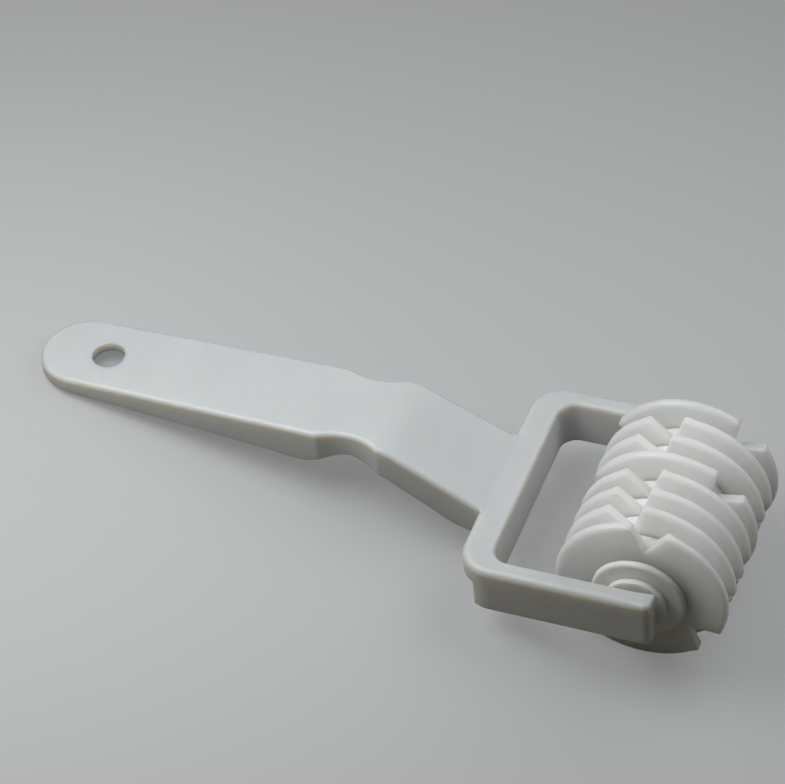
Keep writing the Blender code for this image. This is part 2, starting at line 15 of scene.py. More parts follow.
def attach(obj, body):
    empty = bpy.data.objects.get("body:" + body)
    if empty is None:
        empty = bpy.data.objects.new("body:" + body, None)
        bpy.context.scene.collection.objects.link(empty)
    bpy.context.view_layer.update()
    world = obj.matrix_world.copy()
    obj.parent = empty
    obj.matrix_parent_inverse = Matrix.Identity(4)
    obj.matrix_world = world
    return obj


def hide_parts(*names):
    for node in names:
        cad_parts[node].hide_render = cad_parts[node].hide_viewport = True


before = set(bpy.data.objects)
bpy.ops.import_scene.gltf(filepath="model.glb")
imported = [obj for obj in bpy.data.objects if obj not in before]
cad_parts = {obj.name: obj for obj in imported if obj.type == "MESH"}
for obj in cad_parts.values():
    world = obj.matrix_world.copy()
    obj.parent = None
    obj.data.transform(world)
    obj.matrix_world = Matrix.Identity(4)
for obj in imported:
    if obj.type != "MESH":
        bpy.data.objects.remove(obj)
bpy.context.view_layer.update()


# Handle and fork: one white moulding, hollow and ribbed underneath. The grip's thin plate
# ramps up from the crossbar and has side skirts; the arms' blind sockets hold the axle.
rest_place = (0.0273254, 0, 0.018292)
rest_tilt = math.radians(-13.175075)
cutter_frame = Matrix.Translation(rest_place) @ Matrix.Rotation(rest_tilt, 4, "Y")
half_width = 0.0325
arm_thick = 0.0049
half_gap = half_width - arm_thick
fork_reach = 0.0487
fork_depth = 0.0129
fork_corner_radius = 0.0085
gap_corner_radius = 0.0045
arm_nose_length = 0.0056
arm_nose_radius = 0.0020
arm_end_radius = 0.0006
arm_end_flat = arm_thick - arm_nose_radius - arm_end_radius
crossbar_thick = 0.0077
ledge_reach = 0.0045
ledge_depth = 0.0053
handle_length = 0.1200
grip_rise = 0.0128
ramp = math.radians(27)
knee_radius = 0.0160
tip_radius = 0.0113
tip_station = handle_length - tip_radius
waist_share = 0.2860
waist_station = handle_length * waist_share
waist_half_chord = 0.0077
waist_half_width = 0.0104
shoulder_half_width = 0.0124
root_half_width = 0.0135
root_flare = 0.0005
plate_thick = 0.0026
wall_thick = 0.0020
rib_thick = 0.0014
rib_shares = (0.105, 0.200, 0.300, 0.400, 0.500, 0.600, 0.700)
spine_share = 0.78
hole_share = 0.8525
hole_radius = 0.0042
axle_reach = 0.0431
axle_drop = 0.0070
socket_radius = 0.0033
socket_depth = 0.0032
knee_tangent = knee_radius * math.tan(ramp / 2)
knee_start = grip_rise / math.tan(ramp) - knee_tangent * math.cos(ramp)
knee_end = grip_rise / math.tan(ramp) + knee_tangent
# The flare and the grip's loft start inside the crossbar. Over the blend the ramp's top levels
# out, and it runs in just under the crossbar's top.
root_overlap = 0.0003
grip_start = -0.0059
root_blend = 0.0020
root_sink = 0.00002
# Rim radii: under the whole moulding, on the grip's top, and on the fork's top inside and
# outside, which change from the arms' ends to the rest over a short run.
under_rim = 0.0004
grip_rim = 0.0012
inner_rim_at_end, inner_rim = 0.0004, 0.0012
outer_rim_at_end, outer_rim = 0.0012, 0.0017
rim_change = 0.0040
# Edges sharper than this stay sharp; points nearer than this are joined.
sharp_edge = math.radians(35)
joined_distance = 0.000001
# Depth of the skirts, as shares of the fork's depth, at shares of the handle's length.
skirt_depths = (
    (-0.060, 0.530), (0.000, 0.690), (0.057, 0.826), (0.117, 0.778), (0.170, 0.752),
    (0.200, 0.710), (0.233, 0.655), (0.283, 0.527), (0.342, 0.659), (0.388, 0.767),
    (0.447, 0.705), (0.540, 0.628), (0.650, 0.543), (0.783, 0.442), (0.858, 0.388),
    (0.917, 0.333), (1.000, 0.271),
)


def add_piece(name, mesh):
    item = bpy.data.objects.new(name, mesh)
    bpy.context.scene.collection.objects.link(item)
    return item


def discard(*items):
    for item in items:
        bpy.data.objects.remove(item, do_unlink=True)


def settle(item):
    """Gives the piece its evaluated shape as a plain mesh, without modifiers."""
    depsgraph = bpy.context.evaluated_depsgraph_get()
    mesh = bpy.data.meshes.new_from_object(item.evaluated_get(depsgraph))
    mesh.name = item.name
    item.modifiers.clear()
    item.data = mesh


def polar(radius, angle):
    return Vector((radius * math.cos(angle), radius * math.sin(angle)))


def share_along(value, start, length):
    """How far a value has come along a stretch, from 0 to 1."""
    return min(max((value - start) / length, 0), 1)


def round_corners(corners, arc_step):
    """Polygon of (point, radius) corners, with an arc in place of each corner."""
    points = []
    for index, (corner, radius) in enumerate(corners):
        if radius == 0:
            points.append(corner)
            continue
        before = (corners[index - 1][0] - corner).normalized()
        after = (corners[(index + 1) % len(corners)][0] - corner).normalized()
        half = before.angle(after) / 2
        centre = corner + (before + after).normalized() * (radius / math.sin(half))
        start = corner + before * (radius / math.tan(half)) - centre
        end = corner + after * (radius / math.tan(half)) - centre
        first = math.atan2(start.y, start.x)
        sweep = math.atan2(end.y, end.x) - first
        sweep = (sweep + math.pi) % (2 * math.pi) - math.pi
        steps = max(1, round(abs(sweep) / arc_step))
        for step in range(steps + 1):
            points.append(centre + polar(radius, first + sweep * step / steps))
    return points


def outline_normals(points):
    """Inward direction at each point of a closed outline that runs counter-clockwise."""
    mitre_limit = 0.5
    normals = []
    for index, point in enumerate(points):
        before = (point - points[index - 1]).normalized()
        after = (points[(index + 1) % len(points)] - point).normalized()
        run = before + after
        normals.append(Vector((-run.y, run.x)).normalized() / max(mitre_limit, run.length / 2))
    return normals


def rounded_plate(name, outline, top_round, under_round, low, high, hole=None, steps=6):
    """Plate between two heights, its rims rounded by a radius given for each outline point."""
    flat_inset = 1.15
    normals = outline_normals(outline)
    shape = bmesh.new()

    def ring(inward, radii, base, up):
        loop = []
        for point, normal, radius in zip(outline, normals, radii):
            place = point + normal * (inward * radius)
            loop.append(shape.verts.new((place.x, place.y, base + up * radius)))
        return loop

    angles = [math.pi / 2 * step / steps for step in range(steps + 1)]
    loops = [ring(flat_inset, under_round, low, 0)]
    for angle in angles:
        loops.append(ring(1 - math.sin(angle), under_round, low, 1 - math.cos(angle)))
    for angle in angles:
        loops.append(ring(1 - math.cos(angle), top_round, high, math.sin(angle) - 1))
    loops.append(ring(flat_inset, top_round, high, 0))
    count = len(outline)
    for lower, upper in zip(loops, loops[1:]):
        for index in range(count):
            after = (index + 1) % count
            shape.faces.new((lower[index], lower[after], upper[after], upper[index]))
    caps = [[loops[0]], [loops[-1]]]
    if hole is not None:
        for cap, height in zip(caps, (low, high)):
            cap.append([shape.verts.new((place.x, place.y, height)) for place in hole])
        below, above = caps[0][1], caps[1][1]
        for index in range(len(hole)):
            after = (index + 1) % len(hole)
            shape.faces.new((below[after], below[index], above[index], above[after]))
    for cap in caps:
        edges = []
        for loop in cap:
            for index in range(len(loop)):
                pair = (loop[index], loop[(index + 1) % len(loop)])
                edges.append(shape.edges.get(pair) or shape.edges.new(pair))
        bmesh.ops.triangle_fill(shape, use_beauty=True, use_dissolve=False, edges=edges)
    bmesh.ops.recalc_face_normals(shape, faces=shape.faces)
    mesh = bpy.data.meshes.new(name)
    shape.to_mesh(mesh)
    shape.free()
    mesh.shade_smooth()
    mesh.set_sharp_from_angle(angle=sharp_edge)
    return mesh


def boxes_mesh(name, boxes):
    shape = bmesh.new()
    for low, high in boxes:
        size = Vector(high) - Vector(low)
        middle = (Vector(high) + Vector(low)) / 2
        matrix = Matrix.Translation(middle) @ Matrix.Diagonal((*size, 1))
        bmesh.ops.create_cube(shape, size=1, matrix=matrix)
    mesh = bpy.data.meshes.new(name)
    shape.to_mesh(mesh)
    shape.free()
    return mesh


def rod_mesh(name, radius, length, matrix):
    shape = bmesh.new()
    bmesh.ops.create_cone(
        shape, cap_ends=True, segments=96, radius1=radius, radius2=radius, depth=length,
        matrix=matrix,
    )
    mesh = bpy.data.meshes.new(name)
    shape.to_mesh(mesh)
    shape.free()
    return mesh


def combine(item, other, operation):
    modifier = item.modifiers.new(operation.lower(), "BOOLEAN")
    modifier.operation = operation
    modifier.object = other
    modifier.solver = "EXACT"


def skirt_depth(share):
    """Smooth curve through the table of depths."""
    last = len(skirt_depths) - 1
    share = min(max(share, skirt_depths[0][0]), skirt_depths[last][0])
    row = 0
    while row < last - 1 and skirt_depths[row + 1][0] < share:
        row += 1

    def slope(index):
        low = skirt_depths[max(index - 1, 0)]
        high = skirt_depths[min(index + 1, last)]
        return (high[1] - low[1]) / (high[0] - low[0])

    left, right = skirt_depths[row], skirt_depths[row + 1]
    span = right[0] - left[0]
    t = (share - left[0]) / span
    start = left[1] * (2 * t**3 - 3 * t**2 + 1) + slope(row) * span * (t**3 - 2 * t**2 + t)
    end = right[1] * (3 * t**2 - 2 * t**3) + slope(row + 1) * span * (t**3 - t**2)
    return fork_depth * (start + end)


def top_height(station):
    """Height of the grip's top at a distance behind the crossbar: ramp, knee and level grip."""
    if station <= root_blend:
        rise = max(station + root_blend, 0) ** 2 / (4 * root_blend) * math.tan(ramp)
        return rise - root_sink + min(station + root_blend, 0) * math.tan(ramp)
    if station <= knee_start:
        return station * math.tan(ramp)
    if station >= knee_end:
        return grip_rise
    return grip_rise - knee_radius + math.sqrt(knee_radius**2 - (knee_end - station) ** 2)


def under_height(station):
    return top_height(station) - skirt_depth(station / handle_length)


def flank_width(station):
    """Half width of the grip, with the finger waist and the flared root."""
    if station < waist_station:
        reach = max(station / waist_station, 0)
        width = root_half_width + (shoulder_half_width - root_half_width) * reach
    else:
        reach = (station - waist_station) / (tip_station - waist_station)
        width = shoulder_half_width + (tip_radius - shoulder_half_width) * reach
    bite = shoulder_half_width - waist_half_width
    waist_radius = (waist_half_chord**2 + bite**2) / (2 * bite)
    off_centre = abs(station - waist_station)
    if off_centre < waist_half_chord:
        arc = waist_half_width + waist_radius - math.sqrt(waist_radius**2 - off_centre**2)
        width = min(width, arc)
    inside = root_flare - max(station + root_overlap, 0)
    if inside > 0:
        width += root_flare - math.sqrt(root_flare**2 - inside**2)
    return width


def grip_body(name, start, rings, lowest, highest):
    """Lofted grip from a start station round its tip, out of rings of (inset, height rule)."""
    loft_steps, flare_steps, tip_steps = 190, 12, 36
    stations = [start + (tip_station - start) * step / loft_steps for step in range(loft_steps)]
    for step in range(flare_steps):
        flare = root_flare * (1 - math.cos(math.pi / 2 * step / flare_steps))
        stations.append(flare - root_overlap)
    stations = sorted(station for station in stations if station >= start)
    points = [Vector((station, flank_width(station))) for station in stations]
    for step in range(tip_steps + 1):
        angle = math.pi / 2 * (1 - step / tip_steps)
        points.append(Vector((tip_station, 0)) + polar(tip_radius, angle))
    points[-1].y = 0
    normals = []
    for index in range(len(points)):
        run = points[min(index + 1, len(points) - 1)] - points[max(index - 1, 0)]
        in_root = points[index].x < root_flare
        normals.append(Vector((0, -1)) if in_root else Vector((run.y, -run.x)).normalized())
    normals[-1] = Vector((-1, 0))
    shape = bmesh.new()
    columns = []
    for point, normal in zip(points, normals):
        column = []
        for inset, height in rings:
            place = point + normal * inset
            column.append((-place.x, max(place.y, 0), height(place.x)))
        foot = point + normal * rings[0][0]
        head = point + normal * rings[-1][0]
        column.insert(0, (-foot.x, 0, lowest(foot.x)))
        column.append((-head.x, 0, highest(head.x)))
        columns.append([shape.verts.new(place) for place in column])
    for left, right in zip(columns, columns[1:]):
        for index in range(len(left) - 1):
            shape.faces.new((left[index], left[index + 1], right[index + 1], right[index]))
    shape.faces.new(columns[0])
    bmesh.ops.remove_doubles(shape, verts=shape.verts, dist=joined_distance)
    bmesh.ops.dissolve_degenerate(shape, edges=shape.edges, dist=joined_distance)
    bmesh.ops.recalc_face_normals(shape, faces=shape.faces)
    mesh = bpy.data.meshes.new(name)
    shape.to_mesh(mesh)
    shape.free()
    item = add_piece(name, mesh)
    mirror = item.modifiers.new("mirrored", "MIRROR")
    mirror.use_axis = (False, True, False)
    mirror.merge_threshold = joined_distance
    settle(item)
    return item


def plastic(name, pale, shade, roughness, glow_depth, glow_tint):
    """Satin moulded plastic: clouded colour, uneven gloss, fine grain, light let in a little."""
    material = bpy.data.materials.new(name)
    material.use_nodes = True
    nodes = material.node_tree.nodes
    links = material.node_tree.links
    shader = nodes["Principled BSDF"]
    place = nodes.new("ShaderNodeTexCoord")

    def noise(scale, detail, stretch=(1, 1, 1)):
        mapping = nodes.new("ShaderNodeMapping")
        mapping.inputs["Scale"].default_value = stretch
        texture = nodes.new("ShaderNodeTexNoise")
        texture.inputs["Scale"].default_value = scale
        texture.inputs["Detail"].default_value = detail
        links.new(place.outputs["Object"], mapping.inputs["Vector"])
        links.new(mapping.outputs["Vector"], texture.inputs["Vector"])
        return texture.outputs["Fac"]

    def spread(value, low, high):
        change = nodes.new("ShaderNodeMapRange")
        change.inputs["From Min"].default_value = 0.3
        change.inputs["From Max"].default_value = 0.7
        change.inputs["To Min"].default_value = low
        change.inputs["To Max"].default_value = high
        links.new(value, change.inputs["Value"])
        return change.outputs["Result"]

    clouds = nodes.new("ShaderNodeMix")
    clouds.data_type = "RGBA"
    clouds.inputs["A"].default_value = (*pale, 1)
    clouds.inputs["B"].default_value = (*shade, 1)
    links.new(spread(noise(scale=55, detail=4), 0, 1), clouds.inputs["Factor"])
    links.new(clouds.outputs["Result"], shader.inputs["Base Color"])
    streaks = noise(scale=140, detail=3, stretch=(0.25, 1, 1))
    uneven = 0.06
    gloss = spread(streaks, roughness - uneven, roughness + uneven)
    links.new(gloss, shader.inputs["Roughness"])
    grain = nodes.new("ShaderNodeBump")
    grain.inputs["Strength"].default_value = 0.25
    grain.inputs["Distance"].default_value = 0.00003
    links.new(noise(scale=1800, detail=2), grain.inputs["Height"])
    waves = nodes.new("ShaderNodeBump")
    waves.inputs["Strength"].default_value = 0.35
    waves.inputs["Distance"].default_value = 0.00012
    links.new(noise(scale=120, detail=2), waves.inputs["Height"])
    links.new(grain.outputs["Normal"], waves.inputs["Normal"])
    links.new(waves.outputs["Normal"], shader.inputs["Normal"])
    shader.inputs["Subsurface Weight"].default_value = 1
    shader.inputs["Subsurface Radius"].default_value = glow_tint
    shader.inputs["Subsurface Scale"].default_value = glow_depth
    shader.inputs["IOR"].default_value = 1.49
    return material


def place_piece(item, matrix, body, material, slot, *nodes):
    """Stands the piece in its place, in its mesh, gives it its material, ties it to its body and
    hides the CAD parts of its nodes.
    """
    item.data.transform(matrix)
    item.data.materials.clear()
    item.data.materials.append(material)
    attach(item, body)
    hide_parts(*nodes)


# The arms' ends have extra points, so that their rims can change along them.
nose_stops = [fork_reach - arm_nose_length * (1 - step / 16) for step in range(10)]
end_stops = [-half_width + arm_nose_radius + arm_end_flat * step / 5 for step in range(1, 5)]
near_arm = [
    (Vector((0, -half_width)), fork_corner_radius),
    *((Vector((stop, -half_width)), 0) for stop in nose_stops),
    (Vector((fork_reach, -half_width)), arm_nose_radius),
    *((Vector((fork_reach, stop)), 0) for stop in end_stops),
    (Vector((fork_reach, -half_gap)), arm_end_radius),
    *((Vector((stop, -half_gap)), 0) for stop in reversed(nose_stops)),
    (Vector((crossbar_thick, -half_gap)), gap_corner_radius),
]
far_arm = [(Vector((place.x, -place.y)), radius) for place, radius in reversed(near_arm)]
outline = round_corners(near_arm + far_arm, arc_step=math.radians(5))
outline_top = []
for place in outline:
    room = fork_reach - place.x
    outward = max(abs(place.y) - half_gap, crossbar_thick - place.x, 0)
    change = share_along(room, arm_end_radius, rim_change)
    inner = inner_rim_at_end + (inner_rim - inner_rim_at_end) * change
    change = share_along(room, arm_nose_radius, rim_change)
    outer = outer_rim_at_end + (outer_rim - outer_rim_at_end) * change
    change = share_along(outward, arm_end_radius, arm_end_flat)
    outline_top.append(inner + (outer - inner) * change)
outline_under = [under_rim] * len(outline)
moulding = add_piece("handle_and_fork", rounded_plate(
    "handle_and_fork", outline, outline_top, outline_under, -fork_depth, 0, steps=5
))
rings = []
under_steps, top_steps = 4, 8
for step in range(under_steps + 1):
    angle = math.pi / 2 * (1 - step / under_steps)
    lift = under_rim * (1 - math.sin(angle))
    rings.append((under_rim * (1 - math.cos(angle)), lambda at, lift=lift: under_height(at) + lift))
for step in range(top_steps + 1):
    angle = math.pi / 2 * step / top_steps
    drop = grip_rim * (1 - math.sin(angle))
    rings.append((grip_rim * (1 - math.cos(angle)), lambda at, drop=drop: top_height(at) - drop))
grip = grip_body("grip", grip_start, rings, under_height, top_height)
hollow_overshoot = 0.004


def hollow_mouth(station):
    return under_height(station) - hollow_overshoot


def hollow_roof(station):
    return top_height(station) - plate_thick


rings = [(wall_thick, hollow_mouth), (wall_thick, hollow_roof)]
hollow = grip_body("hollow", wall_thick, rings, hollow_mouth, hollow_roof)
# Cutters reach this far, well past the moulding.
past = 0.04
slabs = []
for share in rib_shares:
    middle = -handle_length * share
    slabs.append(((middle - rib_thick / 2, -past, -past), (middle + rib_thick / 2, past, past)))
cross_ribs = add_piece("cross_ribs", boxes_mesh("cross_ribs", slabs))
spine_rib = add_piece("spine_rib", boxes_mesh("spine_rib", [
    ((-handle_length * spine_share, -rib_thick / 2, -past), (past, rib_thick / 2, past))
]))
combine(hollow, cross_ribs, "DIFFERENCE")
combine(hollow, spine_rib, "DIFFERENCE")
settle(hollow)
under_ledge = add_piece("under_ledge", boxes_mesh("under_ledge", [
    ((-past, -past, -past), (ledge_reach, past, -ledge_depth))
]))
# Pockets under the ledge, by their start and two sides: two beside the spine, two outside the
# grip's walls.
pocket_front = ledge_reach - 0.0004
pockets = (
    (0.0011, -0.0116, -rib_thick / 2), (0.0011, rib_thick / 2, 0.0116),
    (wall_thick, -0.0240, -0.0144), (wall_thick, 0.0144, 0.0240),
)
ledge_pockets = add_piece("ledge_pockets", boxes_mesh("ledge_pockets", [
    ((start, low, -past), (pocket_front, high, -plate_thick)) for start, low, high in pockets
]))
hole_place = Matrix.Translation((-handle_length * hole_share, 0, grip_rise))
hanging_hole = add_piece("hanging_hole", rod_mesh("hanging_hole", hole_radius, past, hole_place))
axle_place = Matrix.Translation((axle_reach, 0, -axle_drop))
socket_place = axle_place @ Matrix.Rotation(math.pi / 2, 4, "X")
socket_span = 2 * (half_gap + socket_depth)
sockets = add_piece("sockets", rod_mesh("sockets", socket_radius, socket_span, socket_place))
combine(moulding, under_ledge, "DIFFERENCE")
combine(moulding, grip, "UNION")
for cutter in (hollow, ledge_pockets, hanging_hole, sockets):
    combine(moulding, cutter, "DIFFERENCE")
settle(moulding)
discard(under_ledge, grip, hollow, cross_ribs, spine_rib, ledge_pockets, hanging_hole, sockets)
moulding.data.shade_smooth()
moulding.data.set_sharp_from_angle(angle=sharp_edge)
even = moulding.modifiers.new("even_shading", "WEIGHTED_NORMAL")
even.keep_sharp = True
even.weight = 90
settle(moulding)
# The moulding's two tones are a light grey, well below the white of the plastic. That is painted
# shade, which makes the moulding render darker than the roller's white parts.
white_moulding = plastic(
    "satin_white_moulding", pale=(0.62, 0.63, 0.64), shade=(0.59, 0.60, 0.61),
    roughness=0.40, glow_depth=0.0060, glow_tint=(1.0, 0.80, 0.45),
)
place_piece(moulding, cutter_frame, "frame", white_moulding, "white_moulding", "handle_fork")


# Roller core: one white plastic moulding, a six-sided key through all the blades with a round
# trunnion at each end. The trunnions snap into the arms' blind sockets.
roller_shift = 0.0005
key_half_flats = 0.0045
key_end = 0.0249
key_angle = math.radians(15)
key_corner_radius = 0.0003
key_rim = 0.0002
key_clearance = 0.0003
trunnion_radius = 0.0030
trunnion_end = 0.0300
trunnion_rim = 0.0005
trunnion_sides = 72


def key_outline(clearance):
    """Corners of the key, or of the hole round it."""
    corner = (key_half_flats + clearance) / math.cos(math.pi / 6)
    return [polar(corner, key_angle + math.pi / 3 * side) for side in range(6)]


def circle(radius, sides):
    return [polar(radius, 2 * math.pi * side / sides) for side in range(sides)]


# Flat pieces are drawn in X and Y and stand on the axle with their Y up.
upright = Matrix.Rotation(math.pi / 2, 4, "X")
axle_frame = cutter_frame @ axle_place
corners = [(corner, key_corner_radius) for corner in key_outline(0)]
outline = round_corners(corners, arc_step=math.radians(15))
rim = [key_rim] * len(outline)
core = add_piece("key_with_trunnions", rounded_plate(
    "key_with_trunnions", outline, rim, rim, -key_end, key_end, steps=3
))
outline = circle(trunnion_radius, trunnion_sides)
rim = [trunnion_rim] * trunnion_sides
rod = add_piece("trunnions", rounded_plate(
    "trunnions", outline, rim, rim, -trunnion_end, trunnion_end, steps=3
))
combine(core, rod, "UNION")
settle(core)
discard(rod)
core.data.shade_smooth()
core.data.set_sharp_from_angle(angle=sharp_edge)
on_roller = axle_frame @ Matrix.Translation((0, roller_shift, 0)) @ upright
white_core = plastic(
    "satin_white_core", pale=(0.94, 0.91, 0.86), shade=(0.92, 0.89, 0.84),
    roughness=0.40, glow_depth=0.0030, glow_tint=(1.0, 0.92, 0.80),
)
place_piece(core, on_roller, "roller", white_core, "white_core", "roller_core")


# Blades: eight thick notched discs with almost fully rounded rims, moulded in a slightly
# clouded white plastic. Each has three notches, and sits on the key at its own notch angle.
blade_radius = 0.0213
blade_half = 0.0013
blade_count = 8
blade_span = 0.0428
blade_pitch = blade_span / (blade_count - 1)
notch_half_angle = math.radians(12)
notch_count = 3
notch_spacing = 2 * math.pi / notch_count
notch_floor = 0.0140
notch_floor_radius = 0.0004
notch_shoulder_radius = 0.0008
notch_phases = (84, 105, 104, 103, 45, 106, 103, 44)
# The rim's rounding thins out towards the notches' shoulders.
blade_rim_at_notch = 0.00035
blade_rim_growth = 0.00080
blade_rim_change = 0.0030
rim_steps = 64
corners = []
for notch in range(notch_count):
    middle = notch_spacing * notch
    corners.append((polar(blade_radius, middle - notch_half_angle), notch_shoulder_radius))
    corners.append((polar(notch_floor, middle), notch_floor_radius))
    corners.append((polar(blade_radius, middle + notch_half_angle), notch_shoulder_radius))
    for step in range(2, rim_steps - 1):
        run = (notch_spacing - 2 * notch_half_angle) * step / rim_steps
        corners.append((polar(blade_radius, middle + notch_half_angle + run), 0))
outline = round_corners(corners, arc_step=math.radians(9))
rim = []
for point in outline:
    angle = math.atan2(point.y, point.x)
    off_notch = (angle + notch_spacing / 2) % notch_spacing - notch_spacing / 2
    run = (abs(off_notch) - notch_half_angle) * blade_radius
    change = share_along(run, 0, blade_rim_change)
    rim.append(blade_rim_at_notch + blade_rim_growth * change * change * (3 - 2 * change))
blade = add_piece("blade_pattern", rounded_plate(
    "blade_pattern", outline, rim, rim, -blade_half, blade_half
))


def stack_on_axle(name, pattern, count, pitch, turns, material):
    """Copies of one flat piece along the axle, made by geometry nodes, as one plain mesh."""
    mesh = bpy.data.meshes.new(name)
    mesh.from_pydata([(0, 0, 0)] * count, [], [])
    attribute = mesh.attributes.new("turn", "FLOAT", "POINT")
    attribute.data.foreach_set("value", [math.radians(turn) for turn in turns])
    item = add_piece(name, mesh)
    tree = bpy.data.node_groups.new(name + "_stack", "GeometryNodeTree")
    nodes, links = tree.nodes, tree.links

    def tree_input(title, kind):
        return tree.interface.new_socket(title, in_out="INPUT", socket_type=kind)

    tree_input("Geometry", "NodeSocketGeometry")
    pattern_socket = tree_input("Pattern", "NodeSocketObject")
    count_socket = tree_input("Count", "NodeSocketInt")
    pitch_socket = tree_input("Pitch", "NodeSocketFloat")
    plastic_socket = tree_input("Plastic", "NodeSocketMaterial")
    tree.interface.new_socket("Geometry", in_out="OUTPUT", socket_type="NodeSocketGeometry")
    given = nodes.new("NodeGroupInput")
    result = nodes.new("NodeGroupOutput")
    index = nodes.new("GeometryNodeInputIndex")

    def arithmetic(operation, first, second):
        node = nodes.new("ShaderNodeMath")
        node.operation = operation
        for socket, value in zip(node.inputs, (first, second)):
            if isinstance(value, (int, float)):
                socket.default_value = value
            else:
                links.new(value, socket)
        return node.outputs[0]

    middle = arithmetic("MULTIPLY", arithmetic("SUBTRACT", given.outputs["Count"], 1), 0.5)
    step = arithmetic("SUBTRACT", middle, index.outputs[0])
    offset = nodes.new("ShaderNodeCombineXYZ")
    links.new(arithmetic("MULTIPLY", step, given.outputs["Pitch"]), offset.inputs["Z"])
    spread = nodes.new("GeometryNodeSetPosition")
    links.new(given.outputs["Geometry"], spread.inputs["Geometry"])
    links.new(offset.outputs[0], spread.inputs["Position"])
    turn = nodes.new("GeometryNodeInputNamedAttribute")
    turn.data_type = "FLOAT"
    turn.inputs["Name"].default_value = "turn"
    facing = nodes.new("ShaderNodeCombineXYZ")
    links.new(turn.outputs["Attribute"], facing.inputs["Z"])
    pattern_info = nodes.new("GeometryNodeObjectInfo")
    links.new(given.outputs["Pattern"], pattern_info.inputs["Object"])
    copies = nodes.new("GeometryNodeInstanceOnPoints")
    links.new(spread.outputs["Geometry"], copies.inputs["Points"])
    links.new(pattern_info.outputs["Geometry"], copies.inputs["Instance"])
    links.new(facing.outputs[0], copies.inputs["Rotation"])
    real = nodes.new("GeometryNodeRealizeInstances")
    links.new(copies.outputs[0], real.inputs[0])
    dressed = nodes.new("GeometryNodeSetMaterial")
    links.new(real.outputs[0], dressed.inputs["Geometry"])
    links.new(given.outputs["Plastic"], dressed.inputs["Material"])
    links.new(dressed.outputs[0], result.inputs[0])
    modifier = item.modifiers.new("stack", "NODES")
    modifier.node_group = tree
    modifier[pattern_socket.identifier] = pattern
    modifier[count_socket.identifier] = count
    modifier[pitch_socket.identifier] = pitch
    modifier[plastic_socket.identifier] = material
    settle(item)
    discard(pattern)
    return item


white_blade = plastic(
    "clouded_white_blade", pale=(0.97, 0.955, 0.93), shade=(0.955, 0.94, 0.915),
    roughness=0.38, glow_depth=0.0100, glow_tint=(1.0, 0.96, 0.90),
)
blades = stack_on_axle("blades", blade, blade_count, blade_pitch, notch_phases, white_blade)
# One long six-sided bore opens all the blades along the key, whatever their notch angles.
key_hole = key_outline(key_clearance)
bore_rim = [0.0001] * len(key_hole)
key_bore = add_piece("key_bore", rounded_plate(
    "key_bore", key_hole, bore_rim, bore_rim, -key_end, key_end, steps=1
))
combine(blades, key_bore, "DIFFERENCE")
settle(blades)
discard(key_bore)
blades.data.shade_smooth()
blades.data.set_sharp_from_angle(angle=sharp_edge)
place_piece(
    blades, on_roller, "roller", white_blade, "white_blade",
    "blade_1", "blade_2", "blade_3", "blade_4", "blade_5", "blade_6", "blade_7", "blade_8",
)


# Spacers: seven round discs on the key, which hold the blades apart. They are moulded in a
# slightly warmer white than the blades.
spacer_radius = 0.0138
spacer_half = 0.001457
spacer_rim = 0.0003
ring_sides = 120
outline = circle(spacer_radius, ring_sides)
rim = [spacer_rim] * ring_sides
spacer = add_piece("spacer_pattern", rounded_plate(
    "spacer_pattern", outline, rim, rim, -spacer_half, spacer_half, hole=key_hole, steps=3
))
white_rings = plastic(
    "warm_white_rings", pale=(0.98, 0.955, 0.91), shade=(0.96, 0.935, 0.89),
    roughness=0.38, glow_depth=0.0015, glow_tint=(1.0, 0.94, 0.84),
)
spacer_count = blade_count - 1
spacers = stack_on_axle(
    "spacers", spacer, spacer_count, blade_pitch, [0] * spacer_count, white_rings
)
place_piece(
    spacers, on_roller, "roller", white_rings, "white_blade",
    "spacer_1", "spacer_2", "spacer_3", "spacer_4", "spacer_5", "spacer_6", "spacer_7",
)


# End bosses: a wide ring with a rounded rim outside each end blade, on the key's end. It is
# moulded in the same white as the spacers.
boss_radius = 0.0116
boss_half = 0.00095
boss_offset = 0.02395
boss_rim = 0.0008
outline = circle(boss_radius, ring_sides)
rim = [boss_rim] * ring_sides
for side, name, node in ((-1, "near_boss", "end_boss_near"), (1, "far_boss", "end_boss_far")):
    middle = -side * boss_offset
    boss = add_piece(name, rounded_plate(
        name, outline, rim, rim, middle - boss_half, middle + boss_half, hole=key_hole
    ))
    place_piece(boss, on_roller, "roller", white_rings, "white_blade", node)


# Thrust collars: a smaller ring on each trunnion, which runs against the arm's inner face. It
# is moulded in the core's white.
collar_radius = 0.0076
collar_half = 0.0008
collar_offset = 0.0260
collar_rim = 0.0004
collar_sides = 96
outline = circle(collar_radius, collar_sides)
rim = [collar_rim] * collar_sides
bore = circle(trunnion_radius + key_clearance, trunnion_sides)
places = ((-1, "near_collar", "thrust_collar_near"), (1, "far_collar", "thrust_collar_far"))
for side, name, node in places:
    middle = -side * collar_offset
    collar = add_piece(name, rounded_plate(
        name, outline, rim, rim, middle - collar_half, middle + collar_half, hole=bore
    ))
    place_piece(collar, on_roller, "roller", white_core, "white_core", node)


# Stage: a plain pale floor. It glows a little to the camera and in reflections, so that it
# stays pale away from the lamps, and it keeps the object's shadow.
def seen_share(nodes, links):
    """1 for what the camera sees, straight, mirrored or through something clear, otherwise 0."""
    path = nodes.new("ShaderNodeLightPath")
    share = path.outputs["Is Camera Ray"]
    for kind in ("Is Glossy Ray", "Is Transmission Ray"):
        larger = nodes.new("ShaderNodeMath")
        larger.operation = "MAXIMUM"
        links.new(share, larger.inputs[0])
        links.new(path.outputs[kind], larger.inputs[1])
        share = larger.outputs[0]
    return share


